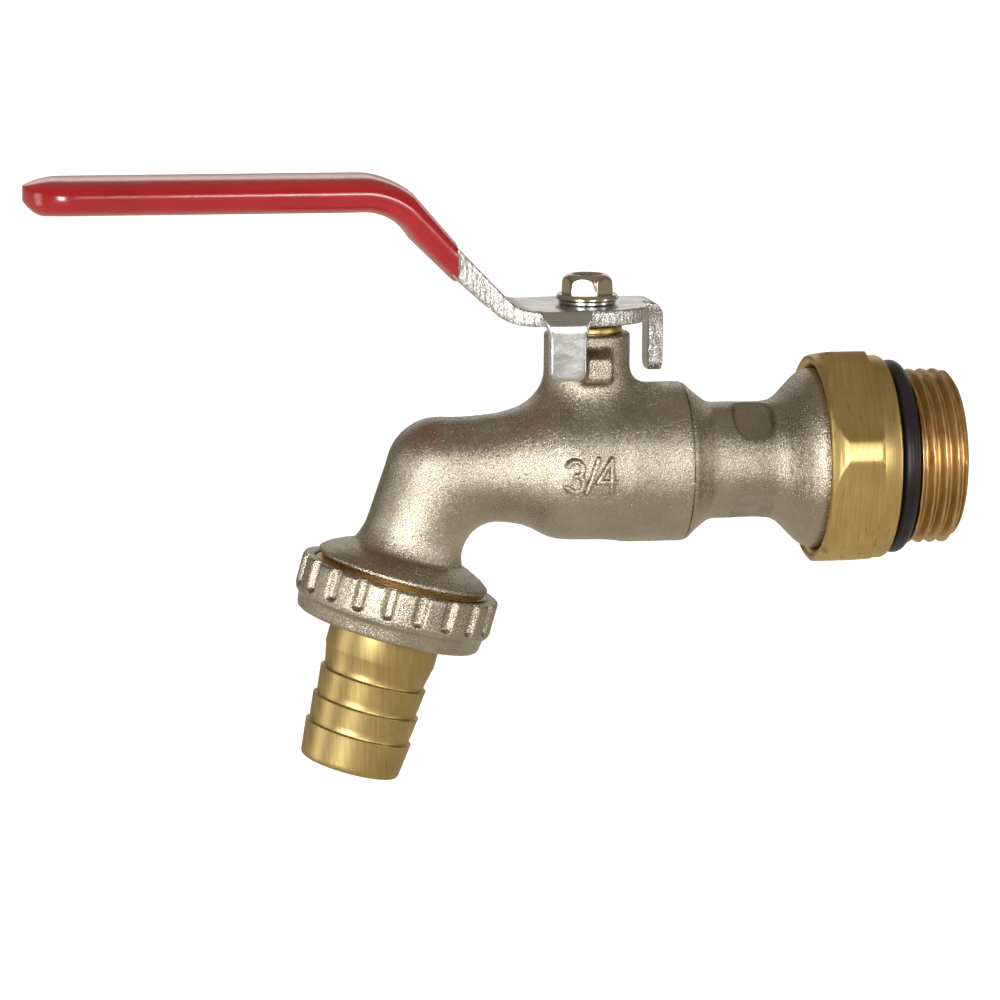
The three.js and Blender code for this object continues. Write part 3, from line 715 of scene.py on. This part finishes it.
# ---- outlet side ----
def build_outlet():
    count = 20

    def scallops(a, r, t):
        phase = np.mod(t * count / (2 * math.pi) + 0.8, 1.0) - 0.5
        across = phase * 2 * math.pi * 19 / count
        past = np.maximum(a - 25.6, 0)
        reach = np.hypot(across, past)
        depth = 1.0 * np.clip((1.35 - reach) / 0.75, 0, 1)
        depth = depth * np.clip((a - 20.75) / 0.2, 0, 1)
        outer = (r > 17.0) & (a > 20.71) & (a < 27.9)
        grooved = np.where(outer, r - depth, r)
        female = 2 * FEMALE_MIDDLE - thread_radius(a, t + math.pi, 19.6, PITCH, 15.25, THREAD_CREST)
        inner = (a < 26.0) & (a > 21.0) & (r < 16.6) & (r > 15.2)
        return np.where(inner, np.clip(female, 15.5, 17.0), grooved)

    ring = [
        (20.75, 17.1), (20.7, 17.8), (20.75, 18.4), (20.95, 18.75), (21.3, 18.95), (22.0, 19.0),
        (26.9, 18.95), (27.7, 18.7), (28.2, 18.2), (28.6, 17.95), (30.4, 17.7), (30.8, 17.5), (31.1, 17.1),
        (31.2, 16.5), (31.2, 11.2), (31.0, 11.0), (29.45, 11.0), (29.45, 15.1), (26.0, 15.1), (26.0, 16.4),
        (21.2, 16.4),
    ]
    turn("outlet_ring_nut", OUTLET, ring, "ring_nut", "outlet_nut", "nickel", count * 24,
         scallops, 0.2, [(20.7, 28.7, 16.9), (20.9, 26.1, 16.3)], 60)
    tail = [(27.3, 7.5), (27.3, 14.4), (27.4, 14.5), (29.1, 14.5), (29.2, 14.4), (29.2, 10.7), (29.4, 10.55),
            (36.2, 10.55), (36.6, 10.4)]
    for crest in (40.8, 46.2, 51.4):
        tail += [(crest - 1.6, 9.85), (crest - 0.35, 9.62), (crest - 0.15, 9.7), (crest - 0.02, 10.2),
                 (crest + 0.12, 10.28), (crest + 0.6, 10.2)]
    tail += [(57.1, 9.62), (57.7, 9.55), (58.1, 9.35), (58.3, 9.0), (58.3, 7.7), (58.1, 7.5)]
    turn("hose_tail_brass", OUTLET, tail, "hose_tail", "hose_barb", "brass_tail", 160)


def dress(name, mat):
    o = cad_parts[name]
    o.data.materials.clear()
    o.data.materials.append(MATS[mat])
    o.data.polygons.foreach_set("use_smooth", [True] * len(o.data.polygons))
    o.data.set_sharp_from_angle(angle=math.radians(30))


build_body()
build_inlet()
build_stem()
build_lever()
build_sleeve()
build_outlet()
for node, mat in (("swivel_o_ring", "rubber"), ("ball", "chrome"), ("seat_ring_inlet", "ptfe"),
                  ("seat_ring_outlet", "ptfe"), ("stem_thrust_washer", "ptfe"), ("stem_o_ring", "rubber"),
                  ("packing_ring", "ptfe"), ("outlet_gasket", "rubber")):
    dress(node, mat)

# ---- camera, floor and lights ----
camera = bpy.data.cameras.new("camera")
camera.sensor_width = 36
camera.lens = 156.4
camera.clip_start = 0.01
view = bpy.data.objects.new("camera", camera)
bpy.context.scene.collection.objects.link(view)
YAW, DIP, ROLL = 0.164, 0.175, 0.005
forward = Vector((math.sin(YAW) * math.cos(DIP), math.cos(YAW) * math.cos(DIP), -math.sin(DIP)))
aimed = forward.to_track_quat("-Z", "Y").to_matrix().to_4x4()
place = Matrix.Translation((-0.20477, -0.79478, 0.13567))
view.matrix_world = place @ aimed @ Matrix.Rotation(ROLL, 4, "Z")
bpy.context.scene.camera = view

floor_mat = bpy.data.materials.new("floor")
floor_mat.use_nodes = True
floor_mat.node_tree.nodes["Principled BSDF"].inputs["Base Color"].default_value = (0.92, 0.92, 0.92, 1)
floor_mat.node_tree.nodes["Principled BSDF"].inputs["Roughness"].default_value = 0.9
floor_mesh = bpy.data.meshes.new("floor")
sweep = [(-4.0, -0.16), (0.9, -0.16)]
sweep += [(0.9 + 0.7 * math.sin(v), 0.54 - 0.7 * math.cos(v)) for v in np.linspace(0.1, math.pi / 2, 14)]
sweep += [(1.6, 3.5)]
floor_mesh.from_pydata([(x, y, z) for y, z in sweep for x in (-4.0, 4.0)], [],
                       [(2 * i, 2 * i + 1, 2 * i + 3, 2 * i + 2) for i in range(len(sweep) - 1)])
floor_mesh.polygons.foreach_set("use_smooth", [True] * len(floor_mesh.polygons))
floor = bpy.data.objects.new("floor", floor_mesh)
floor_mesh.materials.append(floor_mat)
bpy.context.scene.collection.objects.link(floor)
floor.visible_glossy = False  # the metal mirrors the studio and its lamps, not the white sweep


def area_light(name, at, aim, size, power, mirrored=True):
    data = bpy.data.lights.new(name, "AREA")
    data.shape = "RECTANGLE"
    data.size, data.size_y = size
    data.energy = power
    o = bpy.data.objects.new(name, data)
    bpy.context.scene.collection.objects.link(o)
    o.location = at
    o.rotation_euler = (Vector(aim) - Vector(at)).to_track_quat("-Z", "Y").to_euler()
    o.visible_glossy = mirrored


MIDDLE = (-0.08, 0, 0)
area_light("key", (-0.62, -0.8, 0.06), MIDDLE, (0.24, 0.28), 7.5)
area_light("front", (0.12, -1.0, 0.17), MIDDLE, (0.3, 0.12), 3.4)
area_light("side", (0.8, -0.5, 0.1), MIDDLE, (0.12, 0.6), 1.8)
area_light("back", (0.2, 1.2, 0.36), MIDDLE, (1.4, 0.3), 1.5)
area_light("left", (-0.95, 0.05, 0.0), MIDDLE, (0.25, 0.6), 1.5)
area_light("backdrop", (0.0, 0.5, 1.9), (0.0, 1.5, 0.1), (2.6, 0.8), 36, False)
area_light("ground", (0.0, -0.6, 1.9), (0.0, -0.3, -0.16), (2.2, 0.5), 7, False)

# The room: a pale warm floor and a dim ceiling, for the metal to mirror.
world = bpy.data.worlds.new("studio")
world.use_nodes = True
tree = world.node_tree
height = tree.nodes.new("ShaderNodeSeparateXYZ")
tree.links.new(tree.nodes.new("ShaderNodeTexCoord").outputs["Generated"], height.inputs[0])
shade = tree.nodes.new("ShaderNodeMapRange")
shade.inputs["From Min"].default_value = -1.0
tree.links.new(height.outputs["Z"], shade.inputs["Value"])
room = tree.nodes.new("ShaderNodeValToRGB")
room.color_ramp.elements[0].color = (0.62, 0.56, 0.46, 1)
room.color_ramp.elements[0].position = 0.25
room.color_ramp.elements[1].color = (0.19, 0.16, 0.12, 1)
room.color_ramp.elements[1].position = 0.6
room.color_ramp.elements.new(1.0).color = (0.34, 0.30, 0.24, 1)
tree.links.new(shade.outputs["Result"], room.inputs["Fac"])
tree.links.new(room.outputs["Color"], tree.nodes["Background"].inputs["Color"])
tree.nodes["Background"].inputs["Strength"].default_value = 1.0
bpy.context.scene.world = world
bpy.context.scene.view_settings.view_transform = "Standard"

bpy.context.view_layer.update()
